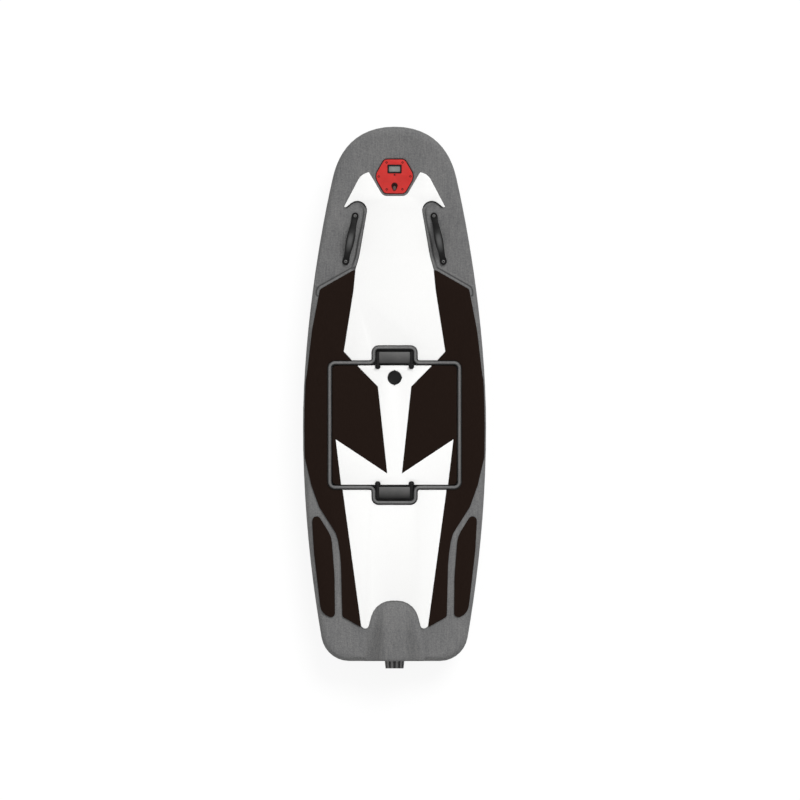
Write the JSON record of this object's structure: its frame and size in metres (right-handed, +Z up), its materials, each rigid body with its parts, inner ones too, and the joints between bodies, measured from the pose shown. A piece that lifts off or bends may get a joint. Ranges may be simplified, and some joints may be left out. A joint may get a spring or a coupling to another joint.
{
  "type": "motorized surfboard",
  "caption": "Moulded jet-drive surfboard with foam deck pads, lift-off battery hatch held by lever latches, grab handles, nose instrument panel and stern pump.",
  "frame": {"origin": "centre of the whole outline, nozzle included, on the floor that the board lies on", "axes": "+Y towards the bow, +Z up out of the deck, +X to the right hand when the bow points away"},
  "size_m": [0.5994, 1.772, 0.1967],
  "materials": {
    "shell": "pebbled moulded polyethylene",
    "pad_white": "brushed closed-cell foam",
    "pad_black": "brushed closed-cell foam",
    "rubber": "satin moulded rubber",
    "panel_red": "satin lacquered plate",
    "screen": "liquid crystal behind a clear window",
    "lever": "satin moulded nylon",
    "black_plastic": "satin moulded plastic",
    "metal": "bead blasted and anodised",
    "battery_case": "fine textured plastic",
    "strap": "woven webbing"
  },
  "bodies": {
    "board": {"hull": "shell", "hatch_coaming": "shell", "deck_pad_fore_white": "pad_white", "deck_pad_aft_white": "pad_white", "deck_pad_side_black_left": "pad_black", "deck_pad_side_black_right": "pad_black", "deck_pad_rear_black_left": "pad_black", "deck_pad_rear_black_right": "pad_black", "handle_left": "rubber", "handle_right": "rubber", "hatch_gasket": "rubber", "panel_gasket": "rubber", "panel_plate": "panel_red", "display_screen": "screen", "nozzle": "lever", "display_bezel": "black_plastic", "indicator_lamp": "black_plastic", "key_socket": "black_plastic", "battery_connector": "black_plastic", "motor_mount": "black_plastic", "motor": "metal", "pump_housing": "metal", "stator": "metal", "intake_grate": "metal", "ride_plate": "metal", "battery": "battery_case", "battery_strap": "strap"},
    "hatch": {"hatch_lid": "shell", "hatch_pad_white": "pad_white", "hatch_pad_black_left": "pad_black", "hatch_pad_black_right": "pad_black", "vent_plug": "black_plastic", "latch_fore_bracket_left": "black_plastic", "latch_fore_bracket_right": "black_plastic", "latch_aft_bracket_left": "black_plastic", "latch_aft_bracket_right": "black_plastic"},
    "latch_fore": {"latch_fore_lever": "lever", "latch_fore_arm_left": "rubber", "latch_fore_arm_right": "rubber"},
    "latch_aft": {"latch_aft_lever": "lever", "latch_aft_arm_left": "rubber", "latch_aft_arm_right": "rubber"},
    "impeller": {"impeller": "metal", "drive_shaft": "metal"}
  },
  "joints": [
    {"name": "hatch_lift", "type": "slide", "parent": "board", "child": "hatch", "axis": [0, 0, 1], "range_m": [0, 0.18]},
    {"name": "latch_fore_turn", "type": "hinge", "parent": "hatch", "child": "latch_fore", "pos_m": [0, 0.10107, 0.1655], "axis": [1, 0, 0], "range_deg": [0, 100]},
    {"name": "latch_aft_turn", "type": "hinge", "parent": "hatch", "child": "latch_aft", "pos_m": [0, -0.28193, 0.1655], "axis": [-1, 0, 0], "range_deg": [0, 100]},
    {"name": "impeller_spin", "type": "hinge", "parent": "board", "child": "impeller", "pos_m": [0, -0.688, 0.076], "axis": [0, 1, 0], "continuous": true}
  ]
}
